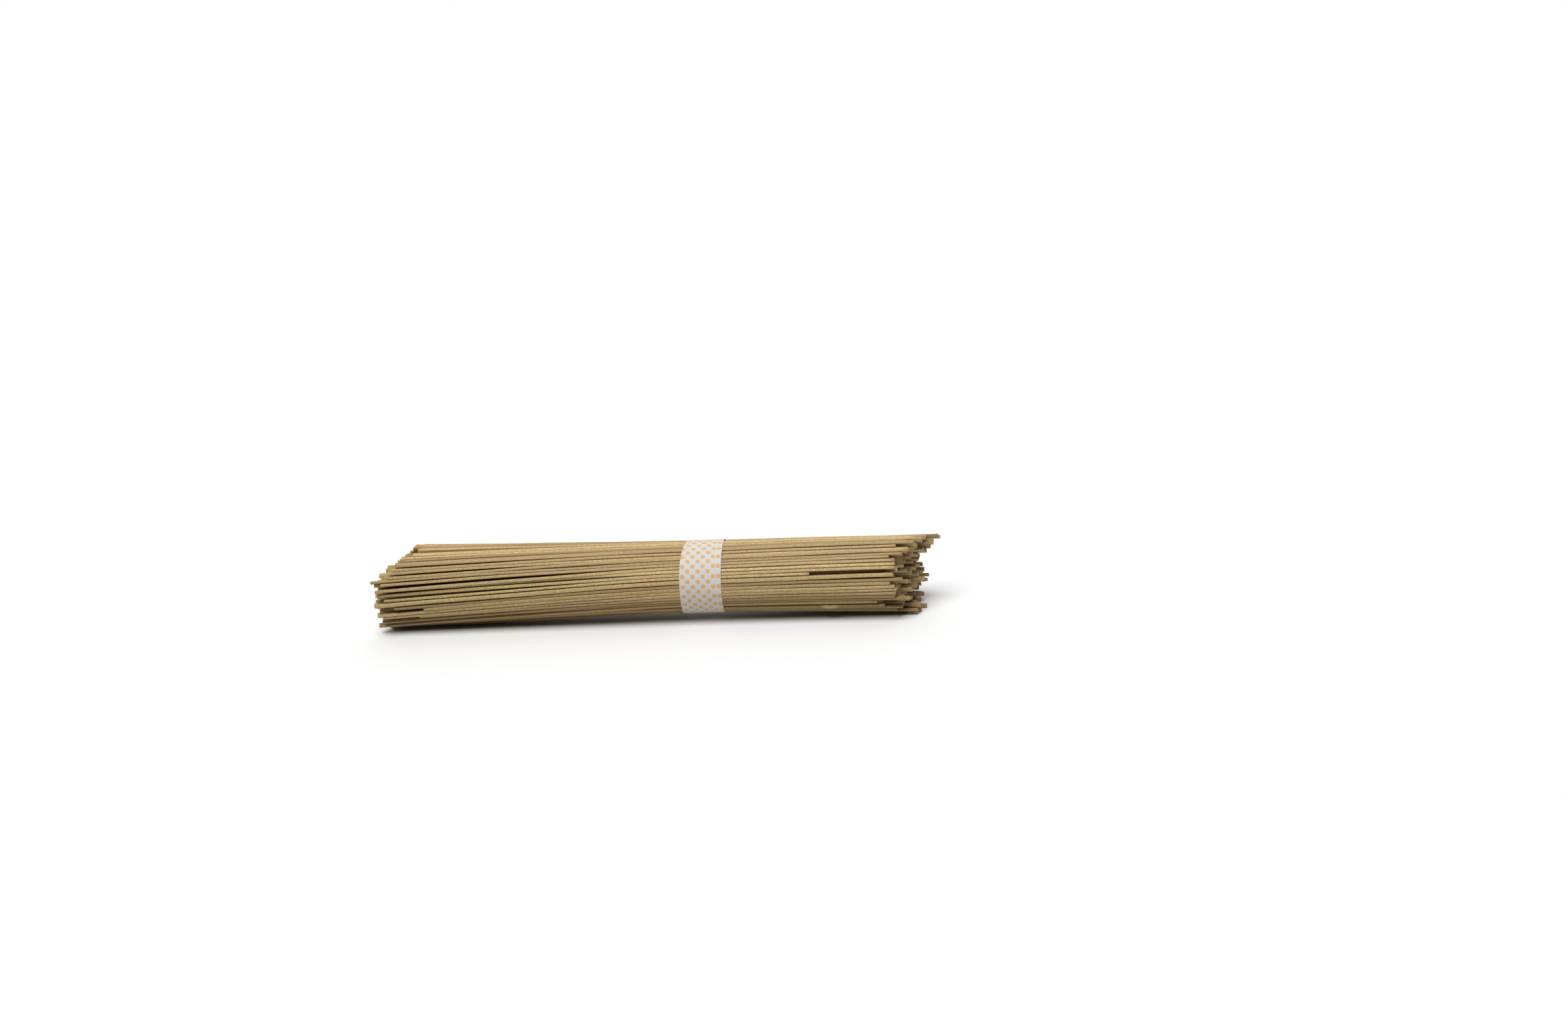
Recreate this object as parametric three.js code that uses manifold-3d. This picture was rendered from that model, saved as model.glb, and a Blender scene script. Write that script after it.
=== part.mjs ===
// A bundle of dried soba noodles, held by one strip of printed paper and lying on a flat surface.
// Millimetres. X runs along the bundle to its even end, Y points away from the front, Z is up.
// In a cross-section a place is (y, z), and "turn" is the angle from Y to a noodle's wide side.

import * as THREE from "three";
import { mergeVertices } from "three/addons/utils/BufferGeometryUtils.js";
import Module from "manifold-3d";

// ---- the noodles ----
const NOODLE_COUNT = 219;
const NOODLE_LENGTH = 187;
const LENGTH_LOSS = 8; // the most that a chipped end takes off a noodle
const NOODLE_WIDTH = 1.68;
const NOODLE_THICKNESS = 1.1;
const SIZE_SPREAD = 0.06; // share by which widths and thicknesses differ

// ---- the bundle: under the band, at its fanned end and at its even end ----
const BUNDLE_RADIUS = 12.9;
const FANNED_END = { reach: 118.5, radius: 15.3, twistDegrees: 19, scatter: 0.5, sink: 0.45, hollow: 1.4 };
const EVEN_END = { reach: 80, radius: 13.9, twistDegrees: -8, scatter: 0.12, sink: 0.4, hollow: 0 };
const HOLLOW_ANGLE = THREE.MathUtils.degToRad(4); // of a shallow hollow, over the front's horizontal
const HOLLOW_SPREAD = THREE.MathUtils.degToRad(11);
const ARCH_HEIGHT = 0.95; // by which the middle of the bundle rises above the line between its ends
const SQUARED_SHARE = 0.7; // the noodles beyond this share of the count start out square to the outline
const EDGEWISE_SHARE = 0.65; // of those, the share that starts on edge
const BAND_STIFFNESS = 0.1; // how softly the noodles bend where they leave the band
const FLAT_SHARE = 0.77; // a noodle on the floor lies flat from this share of the reach on

// ---- how far single noodles have slid towards the even end ----
const SLIDE_TOP = 12;
const SLIDE_BACK = 7;
const SLIDE_RANDOM = 4;

// ---- the paper band ----
const BAND_WIDTH = 15;
const BAND_GAP = 0.15;
const BAND_THICKNESS = 0.3;
const BAND_SKEW = 0.3; // by which it leans to the even end at the top, and away from it below
const BAND_TAPER = 2.1; // how much narrower it is where it is pulled tight, over the back of the top
const TAPER_ANGLE = THREE.MathUtils.degToRad(55); // of that place, over the back's horizontal
const TAPER_SPREAD = THREE.MathUtils.degToRad(55);

// ---- the closed middle that carries the noodles which show ----
const CORE_SIDES = 18;
const CORE_DEPTH = 0.7; // below the outline of the bundle
const CORE_START = -95; // behind the ends of all noodles but the one that is snapped short
const CORE_STOP = 62;
const OUTER_RIM = 0.3; // a noodle this close to the outline under the band is on the outside
const FANNED_RIM = 1.2; // and so is one this close to it at the fanned end
const STUB_ROOT = 1.5; // length by which an end is sunk in the core
const CLEARANCE = 0.04; // taken off each side of a noodle, so that neighbours stay apart

const SEED = 20241;
const FULL_TURN = 2 * Math.PI;
const GOLDEN_ANGLE = Math.PI * (3 - Math.sqrt(5));

let randomState = SEED;

// The next random number between 0 and 1, from a multiplicative congruential rule.
function random() {
  randomState = (randomState * 48271) % 2147483647;
  return randomState / 2147483647;
}

// A random number around 0, rarely beyond twice the given spread.
function scattered(spread) {
  return (random() + random() + random() - 1.5) * 2 * spread;
}

function clamp(value, low, high) {
  return Math.min(Math.max(value, low), high);
}

function smoothStep(value, low, high) {
  const share = clamp((value - low) / (high - low), 0, 1);
  return share * share * (3 - 2 * share);
}

// ---- cross-sections: rectangles that settle against each other ----

function rotated(section, angle) {
  const c = Math.cos(angle);
  const s = Math.sin(angle);
  return {
    ...section,
    y: section.y * c - section.z * s,
    z: section.y * s + section.z * c,
    turn: section.turn + angle,
  };
}

// The corner of a section that lies furthest in a direction. Near a face that is square to the
// direction it moves smoothly along that face, so that two faces come to lie flush.
function deepestCorner(section, directionY, directionZ) {
  const c = Math.cos(section.turn);
  const s = Math.sin(section.turn);
  const alongWidth = clamp((c * directionY + s * directionZ) / 0.15, -1, 1) * section.halfWidth;
  const alongThickness = clamp((c * directionZ - s * directionY) / 0.15, -1, 1) * section.halfThickness;
  return {
    y: section.y + c * alongWidth - s * alongThickness,
    z: section.z + s * alongWidth + c * alongThickness,
  };
}

// How far a section's outermost corner lies from the middle line.
function rimDistance(section) {
  const distance = Math.hypot(section.y, section.z) + 1e-9;
  const rim = deepestCorner(section, section.y / distance, section.z / distance);
  return Math.hypot(rim.y, rim.z);
}

// Separating-axis test of two rectangles: the least overlap and its direction, from a to b.
function overlap(a, b) {
  const dy = b.y - a.y;
  const dz = b.z - a.z;
  let least = null;
  for (const [owner, other] of [[a, b], [b, a]]) {
    const c = Math.abs(Math.cos(a.turn - b.turn));
    const s = Math.abs(Math.sin(a.turn - b.turn));
    for (const side of [0, 1]) {
      const angle = owner.turn + (side * Math.PI) / 2;
      const along = dy * Math.cos(angle) + dz * Math.sin(angle);
      const ownReach = side ? owner.halfThickness : owner.halfWidth;
      const otherReach = side
        ? other.halfWidth * s + other.halfThickness * c
        : other.halfWidth * c + other.halfThickness * s;
      const depth = ownReach + otherReach - Math.abs(along);
      if (depth <= 0) {
        return null;
      }
      if (!least || depth < least.depth) {
        const sign = along < 0 ? -1 : 1;
        least = { depth, y: sign * Math.cos(angle), z: sign * Math.sin(angle), cornerOf: other };
      }
    }
  }
  return least;
}

const PUSH = 0.3; // share of an overlap that each of the two gives way in one round
const TURN_PER_PUSH = 0.9; // radians for each square millimetre of push times lever

function shove(move, section, contact, y, z) {
  move.y += y;
  move.z += z;
  const lever = (contact.y - section.y) * z - (contact.z - section.z) * y;
  move.turn += lever * TURN_PER_PUSH;
}

// Moves the sections in rounds until they hardly overlap. outline(round) is the radius of the
// circle that holds them, and floor is the height that none may go below.
function settle(sections, rounds, outline, floor) {
  for (let round = 0; round < rounds; round += 1) {
    const moves = sections.map(() => ({ y: 0, z: 0, turn: 0 }));
    for (let i = 0; i < sections.length; i += 1) {
      for (let j = i + 1; j < sections.length; j += 1) {
        const a = sections[i];
        const b = sections[j];
        if (Math.abs(a.y - b.y) > 2 * NOODLE_WIDTH || Math.abs(a.z - b.z) > 2 * NOODLE_WIDTH) {
          continue;
        }
        const hit = overlap(a, b);
        if (hit) {
          const side = hit.cornerOf === b ? -1 : 1;
          const contact = deepestCorner(hit.cornerOf, side * hit.y, side * hit.z);
          shove(moves[i], a, contact, -hit.y * hit.depth * PUSH, -hit.z * hit.depth * PUSH);
          shove(moves[j], b, contact, hit.y * hit.depth * PUSH, hit.z * hit.depth * PUSH);
        }
      }
    }
    const radius = outline(round);
    sections.forEach((section, i) => {
      const distance = Math.hypot(section.y, section.z) + 1e-9;
      const rim = deepestCorner(section, section.y / distance, section.z / distance);
      const rimDistance = Math.hypot(rim.y, rim.z);
      const excess = Math.max(rimDistance - radius, 0) / rimDistance;
      shove(moves[i], section, rim, -rim.y * excess, -rim.z * excess);
      const foot = deepestCorner(section, 0, -1);
      shove(moves[i], section, foot, 0, Math.max(floor - foot.z, 0));
      section.y += moves[i].y;
      section.z += moves[i].z;
      section.turn += moves[i].turn;
    });
  }
}

// The noodles under the band: spread like a sunflower's seeds at first, those near the outline
// flat or on edge along it, then squeezed together.
function packUnderBand() {
  const sections = Array.from({ length: NOODLE_COUNT }, (_, i) => {
    const distance = 1.2 * BUNDLE_RADIUS * Math.sqrt((i + 0.5) / NOODLE_COUNT);
    const squared = i > SQUARED_SHARE * NOODLE_COUNT;
    return {
      y: distance * Math.cos(i * GOLDEN_ANGLE) + scattered(0.4),
      z: distance * Math.sin(i * GOLDEN_ANGLE) + scattered(0.4),
      turn: squared ? i * GOLDEN_ANGLE + (random() < EDGEWISE_SHARE ? 0 : Math.PI / 2) : random() * FULL_TURN,
      halfWidth: (NOODLE_WIDTH / 2) * (1 + scattered(SIZE_SPREAD / 2)),
      halfThickness: (NOODLE_THICKNESS / 2) * (1 + scattered(SIZE_SPREAD / 2)),
    };
  });
  const squeeze = (round) => BUNDLE_RADIUS * (1.25 - 0.25 * Math.min(round / 160, 1));
  settle(sections, 320, squeeze, -Infinity);
  return sections;
}

// Presses the outer places round one line of the front inwards.
function hollowed(section, end) {
  const distance = Math.hypot(section.y, section.z) + 1e-9;
  const away = (Math.atan2(section.z, -section.y) - HOLLOW_ANGLE) / HOLLOW_SPREAD;
  const depth = end.hollow * Math.exp(-away * away) * (distance / end.radius) ** 4;
  const left = 1 - depth / distance;
  return { ...section, y: section.y * left, z: section.z * left };
}

// Where the noodles lie at one end: turned and spread from their places under the band,
// scattered a little, and pressed flat where they meet the floor.
function fanOut(sections, end) {
  const floor = end.sink - end.radius;
  const spread = sections.map((section) => {
    const flare = end.radius / BUNDLE_RADIUS;
    const place = { ...section, y: section.y * flare, z: section.z * flare };
    const turned = hollowed(rotated(place, THREE.MathUtils.degToRad(end.twistDegrees)), end);
    turned.y += scattered(end.scatter);
    turned.z += scattered(end.scatter);
    turned.turn += scattered(end.scatter * 0.25);
    return turned;
  });
  settle(spread, 80, () => end.radius * 1.03, floor);
  spread.forEach((section) => layOnFloor(section, floor));
  return spread;
}

// A section that has come down to the floor lies exactly flat on it.
function layOnFloor(section, floor) {
  const quarters = Math.round(section.turn / (Math.PI / 2));
  const foot = deepestCorner(section, 0, -1);
  section.onFloor = foot.z < floor + 0.2 && Math.abs(section.turn - (quarters * Math.PI) / 2) < 0.2;
  if (section.onFloor) {
    section.turn = (quarters * Math.PI) / 2;
    section.z = floor + (quarters % 2 ? section.halfWidth : section.halfThickness);
  }
}

// Height of the bundle's middle line over the floor: from end to end in a shallow arch.
function middleHeight(x) {
  const fanned = FANNED_END.radius - FANNED_END.sink;
  const even = EVEN_END.radius - EVEN_END.sink;
  const share = (x + FANNED_END.reach) / (FANNED_END.reach + EVEN_END.reach);
  return fanned + (even - fanned) * share + ARCH_HEIGHT * 4 * share * (1 - share);
}

// The bend out of the band: flat across the band and nearly straight beyond it.
function leaveBand(share) {
  const soft = (value) => Math.sqrt(value * value + BAND_STIFFNESS * BAND_STIFFNESS) - BAND_STIFFNESS;
  return soft(share) / soft(1);
}

// The cross-section of one noodle at x: its place goes over from the one under the band to the
// one at the end. A noodle that meets the floor gets there early and lies flat from then on.
function sectionAt(noodle, x) {
  const end = x < 0 ? FANNED_END : EVEN_END;
  const goal = x < 0 ? noodle.fanned : noodle.even;
  const along = Math.abs(x) / end.reach;
  const share = leaveBand(goal.onFloor ? Math.min(along / FLAT_SHARE, 1) : along);
  const endHeight = middleHeight(x < 0 ? -end.reach : end.reach);
  const height = goal.onFloor ? middleHeight(0) + (endHeight - middleHeight(0)) * share : middleHeight(x);
  const mix = (from, to) => from + (to - from) * share;
  return {
    y: mix(noodle.y, goal.y),
    z: mix(noodle.z, goal.z) + height,
    turn: mix(noodle.turn, goal.turn),
  };
}

// How far the noodles at a place of the fanned end have slid towards the even end.
function slideAt(y, z) {
  const top = SLIDE_TOP * smoothStep(z / FANNED_END.radius, 0.3, 0.95);
  const back = SLIDE_BACK * smoothStep(y / FANNED_END.radius, -0.6, 0.5);
  return Math.max(top, back) + 0.3 * Math.min(top, back);
}

function makeNoodles() {
  const noodles = packUnderBand();
  const fanned = fanOut(noodles, FANNED_END);
  const even = fanOut(noodles, EVEN_END);
  noodles.forEach((noodle, i) => {
    noodle.fanned = fanned[i];
    noodle.even = even[i];
    const slide = slideAt(fanned[i].y, fanned[i].z) + SLIDE_RANDOM * random() ** 1.5;
    const loss = LENGTH_LOSS * random() ** 2;
    noodle.start = slide - FANNED_END.reach;
    noodle.stop = noodle.start + NOODLE_LENGTH - loss;
    const nearRim = rimDistance(noodle) > BUNDLE_RADIUS - OUTER_RIM;
    noodle.outside = nearRim || rimDistance(noodle.fanned) > FANNED_END.radius - FANNED_RIM;
  });
  return noodles;
}

// The outside noodle nearest to an angle over the front's horizontal, seen under the band.
function frontNoodle(noodles, degrees) {
  const angle = Math.PI - THREE.MathUtils.degToRad(degrees);
  const y = BUNDLE_RADIUS * Math.cos(angle);
  const z = BUNDLE_RADIUS * Math.sin(angle);
  const gap = (noodle) => Math.hypot(noodle.y - y, noodle.z - z);
  return noodles.filter((noodle) => noodle.outside).reduce((a, b) => (gap(b) < gap(a) ? b : a));
}

// Single noodles that stand out: one snapped short of the even end, three that start late at
// the fanned end, one that reaches out furthest, and one that stops early at the even end.
function setSpecialEnds(noodles) {
  frontNoodle(noodles, 18).stop = 39;
  frontNoodle(noodles, -2).start = -100.5;
  frontNoodle(noodles, -20).start = -103;
  frontNoodle(noodles, 4).start = -111;
  frontNoodle(noodles, 43).start = -119;
  frontNoodle(noodles, -42).stop = 65;
}

// ---- solids ----

let wasm = null;

// A closed three.js geometry as a solid, its equal points joined.
function toSolid(geometry) {
  geometry.deleteAttribute("normal");
  geometry.deleteAttribute("uv");
  const merged = mergeVertices(geometry, 1e-4);
  return new wasm.Manifold(
    new wasm.Mesh({
      numProp: 3,
      vertProperties: new Float32Array(merged.attributes.position.array),
      triVerts: new Uint32Array(merged.index.array),
    }),
  );
}

// Moves every point of a geometry to where place(x, y, z) puts it.
function moulded(geometry, place) {
  const points = geometry.attributes.position;
  for (let i = 0; i < points.count; i += 1) {
    const [x, y, z] = place(points.getX(i), points.getY(i), points.getZ(i));
    points.setXYZ(i, x, y, z);
  }
  return geometry;
}

// A noodle's bar through the given stations along the bundle. It is turned as the noodle is at
// the stations in turnedAt: a bar that is turned alike all the way has flat sides.
function bar(noodle, stations, turnedAt) {
  const steps = stations.length - 1;
  const box = new THREE.BoxGeometry(steps, 2, 2, steps, 1, 1);
  return moulded(box, (step, side, face) => {
    const station = Math.round(step + steps / 2);
    const x = stations[station];
    const section = sectionAt(noodle, x);
    const turn = sectionAt(noodle, turnedAt[station]).turn;
    const c = Math.cos(turn);
    const s = Math.sin(turn);
    const across = side * (noodle.halfWidth - CLEARANCE);
    const up = face * (noodle.halfThickness - CLEARANCE);
    return [x, section.y + c * across - s * up, section.z + s * across + c * up];
  });
}

// The stations of an outside noodle: its ends, the edges of the band, and where it comes to lie
// flat on the floor.
function outsideStations(noodle) {
  const edge = BAND_WIDTH / 2 + 1;
  const between = [-edge, edge];
  if (noodle.fanned.onFloor) {
    between.unshift(-FANNED_END.reach * FLAT_SHARE);
  }
  if (noodle.even.onFloor) {
    between.push(EVEN_END.reach * FLAT_SHARE);
  }
  return [noodle.start, ...between, noodle.stop];
}

// The core: a round bar, waisted under the band, that turns with the noodles on it.
function core() {
  const stations = [CORE_START, 0, CORE_STOP];
  const cylinder = new THREE.CylinderGeometry(1, 1, 2, CORE_SIDES, 2);
  return moulded(cylinder, (z, side, y) => {
    const x = stations[Math.round(side) + 1];
    const end = x < 0 ? FANNED_END : EVEN_END;
    const share = Math.abs(x) / end.reach;
    const radius = BUNDLE_RADIUS + (end.radius - BUNDLE_RADIUS) * share - CORE_DEPTH;
    const place = rotated({ y: y * radius, z: z * radius }, THREE.MathUtils.degToRad(end.twistDegrees) * share);
    return [x, place.y, place.z + middleHeight(x)];
  });
}

// The bars that show: outside noodles at full length, and the two ends of the others.
function barsOf(noodle) {
  if (noodle.outside) {
    const stations = outsideStations(noodle);
    return [bar(noodle, stations, stations)];
  }
  const start = [noodle.start, CORE_START + STUB_ROOT];
  const stop = [CORE_STOP - STUB_ROOT, noodle.stop];
  return [bar(noodle, start, [start[0], start[0]]), bar(noodle, stop, [stop[1], stop[1]])];
}

function joinNoodles(noodles) {
  const bars = noodles.flatMap(barsOf).map(toSolid);
  const joined = bars.reduce((sum, solid) => sum.add(solid), toSolid(core()));
  // The largest shell alone: hollows that the joining sealed are filled, loose scraps dropped.
  return joined.decompose().reduce((a, b) => (b.volume() > a.volume() ? b : a));
}

function toGeometry(solid) {
  const mesh = solid.getMesh();
  const geometry = new THREE.BufferGeometry();
  geometry.setAttribute("position", new THREE.BufferAttribute(mesh.vertProperties, 3));
  geometry.setIndex(new THREE.BufferAttribute(mesh.triVerts, 1));
  return geometry;
}

// The paper strip: a thin ring that leans a little and is narrower at one place.
function bandGeometry() {
  const inner = BUNDLE_RADIUS + BAND_GAP;
  const outer = inner + BAND_THICKNESS;
  const half = BAND_WIDTH / 2;
  const profile = [
    new THREE.Vector2(inner, -half),
    new THREE.Vector2(outer, -half),
    new THREE.Vector2(outer, half),
    new THREE.Vector2(inner, half),
    new THREE.Vector2(inner, -half),
  ];
  const ring = new THREE.LatheGeometry(profile, 64);
  return moulded(ring, (z, x, y) => {
    const away = (Math.atan2(z, y) - TAPER_ANGLE) / TAPER_SPREAD;
    const cut = x < 0 ? BAND_TAPER * Math.exp(-away * away) : 0;
    const lean = (BAND_SKEW * z) / outer;
    return [x + cut + lean, y, z + middleHeight(0)];
  });
}

// ---- assembly ----

wasm = await Module();
wasm.setup();

const noodles = makeNoodles();
setSpecialEnds(noodles);

const noodleMesh = new THREE.Mesh(
  toGeometry(joinNoodles(noodles)),
  new THREE.MeshStandardMaterial({ color: 0xb39a6b, roughness: 0.8, metalness: 0 }),
);
noodleMesh.name = "noodles";

const bandMesh = new THREE.Mesh(
  bandGeometry(),
  new THREE.MeshStandardMaterial({ color: 0xf2ead9, roughness: 0.85, metalness: 0 }),
);
bandMesh.name = "paper_band";

// The origin is under the middle of the bundle's box, on the floor.
const box = new THREE.Box3().setFromObject(noodleMesh);
const bundle = new THREE.Group();
bundle.add(noodleMesh, bandMesh);
bundle.position.set(-(box.min.x + box.max.x) / 2, -(box.min.y + box.max.y) / 2, -box.min.z);

const group = new THREE.Group();
group.add(bundle);
group.updateMatrixWorld(true);

export default group;
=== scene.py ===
"""A bundle of dried soba noodles, held by one strip of printed paper and lying on a pale floor.

The noodles are laid out as in the solid model: their cross-sections settle against each other
under the band and at both ends, and each noodle runs nearly straight from one to the next.
Lengths are worked out in millimetres and become metres when a mesh is made. X runs along the
bundle to its even end, Y points away from the front, Z is up. In a cross-section a place is
(y, z, turn), where turn is the angle from Y to a noodle's wide side.
"""

import math

import bpy
import numpy as np
from mathutils import Matrix, Vector


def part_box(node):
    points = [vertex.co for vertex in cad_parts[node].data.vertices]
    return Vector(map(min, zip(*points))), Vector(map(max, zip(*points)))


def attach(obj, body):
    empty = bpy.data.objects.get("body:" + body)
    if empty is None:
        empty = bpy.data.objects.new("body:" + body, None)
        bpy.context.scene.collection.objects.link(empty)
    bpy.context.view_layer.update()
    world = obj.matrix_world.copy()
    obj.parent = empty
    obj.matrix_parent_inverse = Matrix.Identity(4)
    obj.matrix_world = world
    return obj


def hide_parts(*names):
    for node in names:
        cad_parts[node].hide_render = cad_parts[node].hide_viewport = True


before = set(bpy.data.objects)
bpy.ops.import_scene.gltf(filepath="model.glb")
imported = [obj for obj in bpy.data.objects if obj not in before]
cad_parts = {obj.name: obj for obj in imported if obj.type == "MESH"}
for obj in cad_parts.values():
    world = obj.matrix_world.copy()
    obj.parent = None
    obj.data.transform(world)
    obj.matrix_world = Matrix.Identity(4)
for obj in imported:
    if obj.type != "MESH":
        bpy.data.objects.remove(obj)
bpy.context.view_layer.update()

MM = 0.001

# ---- the photograph's frame ----
IMAGE_WIDTH = 2380
IMAGE_HEIGHT = 1567
BAND_PIXEL = (1070, 875)  # where the middle of the paper band shows
CAMERA_AZIMUTH = math.radians(7.5)
CAMERA_ELEVATION = math.radians(18.5)
CAMERA_DISTANCE = 1.3
CAMERA_ROLL = math.radians(-4.3)
LENS = 83.3
SENSOR = 36.0

# ---- the noodles, as in the solid model ----
NOODLE_COUNT = 219
NOODLE_LENGTH = 187.0
LENGTH_LOSS = 8.0  # the most that a chipped end takes off a noodle
NOODLE_WIDTH = 1.68
NOODLE_THICKNESS = 1.1
SIZE_SPREAD = 0.06  # share by which widths and thicknesses differ

# ---- the bundle: under the band, at its fanned end and at its even end ----
BUNDLE_RADIUS = 12.9
FANNED_END = {
    "reach": 118.5,
    "radius": 15.3,
    "twist": math.radians(19),
    "scatter": 0.5,
    "sink": 0.45,
    "hollow": 1.4,
}
EVEN_END = {
    "reach": 80.0,
    "radius": 13.9,
    "twist": math.radians(-8),
    "scatter": 0.12,
    "sink": 0.4,
    "hollow": 0.0,
}
HOLLOW_ANGLE = math.radians(4)  # of a shallow hollow, over the front's horizontal
HOLLOW_SPREAD = math.radians(11)
ARCH_HEIGHT = 0.95  # by which the middle of the bundle rises above the line between its ends
SQUARED_SHARE = 0.7  # the noodles beyond this share of the count start out square to the outline
EDGEWISE_SHARE = 0.65  # of those, the share that starts on edge
BAND_STIFFNESS = 0.1  # how softly the noodles bend where they leave the band
FLAT_SHARE = 0.77  # a noodle on the floor lies flat from this share of the reach on
OUTER_RIM = 0.3  # a noodle this close to the outline under the band is on the outside
FANNED_RIM = 1.2  # and so is one this close to it at the fanned end

# ---- how the cross-sections settle ----
SEED = 20241
GOLDEN_ANGLE = math.pi * (3 - math.sqrt(5))
LOOSE_SPREAD = 1.2  # radius over which the sections are first laid out, as a share of the bundle's
LOOSE_OUTLINE = 1.25  # and that of the circle that then closes round them
SQUEEZE_ROUNDS = 160
PACK_ROUNDS = 320
FAN_ROUNDS = 80
FAN_SLACK = 1.03
PUSH = 0.3  # share of an overlap that each of the two gives way in one round
TURN_PER_PUSH = 0.9  # radians for each square millimetre of push times lever
FLUSH = 0.15  # sine of the angle to a face below which the deepest corner moves along that face
NEARLY_DOWN = 0.2  # a section this close to lying on the floor, in mm and in radians, is laid on it

# ---- where single noodles end ----
SLIDE_TOP = 12.0  # how far the noodles have slid towards the even end
SLIDE_BACK = 7.0
SLIDE_RANDOM = 4.0
FRONT_STARTS = {-2: -100.5, -20: -103, 4: -111, 43: -119}  # by the degrees over the front's horizontal
FRONT_STOPS = {18: 39, -42: 65}
SLANTED_FRONTS = (-2, -20)
SLANT = (0, -0.42)  # slope of their cut ends, aside and upwards

# ---- how a dried noodle looks from near ----
CORNER_RADIUS = (0.07, 0.24)  # the sharpest and the roundest
DRIED_SHARE = (0.85, 0.985)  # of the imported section, so that thin gaps show between the noodles
CUT_SLOPE = 0.35  # between the steepest cuts one way and the other
BOW = 0.09
BOW_LENGTH = (11, 25)  # the wavelengths of a bow are 2 pi times these
BOW_STARTS = 8  # distance from the band's middle at which the bow sets in
BOW_FULL = 40  # and where it is whole
CAP_INSET = 0.86  # the inner ring of a cut end, as a share of its rim
CAP_BULGE = 0.05
CAP_MIDDLE = 0.04
PAINTED_LOW_SHADE = 0.3  # painted shade: the lowest noodles are darker, with this share of the others' paleness

# ---- how finely a noodle is meshed ----
CORNER_POINTS = 3
SHOWING_STEPS = 44  # along a noodle that shows on the outside
HIDDEN_STEPS = 8
SHOWING_RIM = 2.0  # a noodle this close to the outline shows

# ---- the torn scar on one noodle ----
FLAKE_FRONT = -48  # degrees over the front's horizontal
FLAKE_AT = 45.5
FLAKE_LENGTH = 7.0
FLAKE_HALF_WIDTH = 0.95
FLAKE_DEPTH = 0.35  # its rim lies this far below the noodle's face
FLAKE_HEIGHT = 0.75  # the most that its crumbs stand up from that face
FLAKE_JITTER = 0.15
FLAKE_COLUMNS = 40
FLAKE_ROWS = 11

# ---- the paper band ----
BAND_WIDTH = 15.0
BAND_TAPER = 2.1  # how much narrower it is where it is pulled tight, over the back of the top
TAPER_ANGLE = math.radians(55)  # of that place, over the back's horizontal
TAPER_SPREAD = math.radians(55)
BAND_SKEW = 0.3  # by which the strip leans to the even end at the top, and away from it below
PAPER_THICKNESS = 0.11
PAPER_GAP = 0.08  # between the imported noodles' outline and the paper
STRIP_START = math.radians(-62)
STRIP_OVERLAP = math.radians(50)
STRIP_STEPS = 320
STRIP_COLUMNS = 13
STRIP_EDGE = 0.008  # share of the width at each edge that has a column of its own, to keep it crisp
LAP_STARTS = 0.12  # radians before a full turn at which the end begins to rise over the start
LAP_DONE = 0.02  # and after it at which it lies on top
PRINT_RADIUS = BUNDLE_RADIUS + 0.14
COLUMN = 1.83  # pitch of the printed squares across the strip
ROW = 1.845  # and along it
FIRST_COLUMN = -0.55  # middle of the first column, from the strip's edge
LAST_COLUMN = 8  # this one is printed level with the one before it

# ---- colours, as 8-bit sRGB numbers ----
BROWN_DOUGH = (146, 122, 79)
PALE_DOUGH = (198, 174, 120)
WARM_DOUGH = (170, 138, 92)
CLOUDED_DOUGH = (151, 126, 83)
HUSK_GRAIN = (119, 93, 57)
BRAN_SPECK = (64, 44, 26)
STARCH_SPECK = (200, 181, 136)
CUT_DOUGH = (175, 151, 103)
TORN_DOUGH = (196, 172, 128)
# painted shade in the grooves between the noodles and on recessed noodles
PAINTED_GROOVE_SHADE = (76, 44, 19)
FULL_INK = (188, 148, 95)
THIN_INK = (195, 161, 113)
BRIGHT_PAPER = (189, 187, 183)
DULL_PAPER = (179, 176, 171)

# ---- noise scales for each metre, along the noodles, aside and up ----
CLOUD_SCALE = (35, 700, 700)
GRAIN_SCALE = (1300, 2700, 2700)
BRAN_SCALE = (2200, 3400, 3400)
STARCH_SCALE = (2600, 3600, 3600)
FIBRE_SCALE = (900, 900, 900)

# ---- the stage ----
FLOOR_HALF_WIDTH = 6.0
FLOOR_GREY = 0.67
ROOM_LIGHT = 0.04  # what the room sheds on the bundle
ROOM_SEEN = 0.94  # how bright the room itself looks


# ---------------------------------------------------------------- random numbers and curves


class Draws:
    """Random numbers between 0 and 1 from one seed: the state becomes 48271 times itself, modulo 2^31 - 1."""

    def __init__(self, seed):
        self.state = seed

    def take(self, *shape):
        numbers = np.empty(math.prod(shape))
        for i in range(len(numbers)):
            self.state = self.state * 48271 % 2147483647
            numbers[i] = self.state / 2147483647
        return numbers.reshape(shape)


def scattered(three, spread):
    """A number around 0 from three draws in the last axis: their sum less 1.5, times twice the spread."""
    return (three[..., 0] + three[..., 1] + three[..., 2] - 1.5) * 2 * spread


def smooth_step(value, low, high):
    """3 s^2 - 2 s^3 of the share s that value has gone from low to high."""
    share = np.clip((value - low) / (high - low), 0, 1)
    return share * share * (3 - 2 * share)


def between(limits, share):
    """The number at a share of the way from the first limit to the second."""
    return limits[0] + (limits[1] - limits[0]) * share


# ---------------------------------------------------------------- cross-sections


def turned(place, angle):
    """Places (y, z, turn) turned about the middle line by an angle."""
    c, s = math.cos(angle), math.sin(angle)
    y, z, turn = place.T
    return np.stack([y * c - z * s, y * s + z * c, turn + angle], 1)


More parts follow.
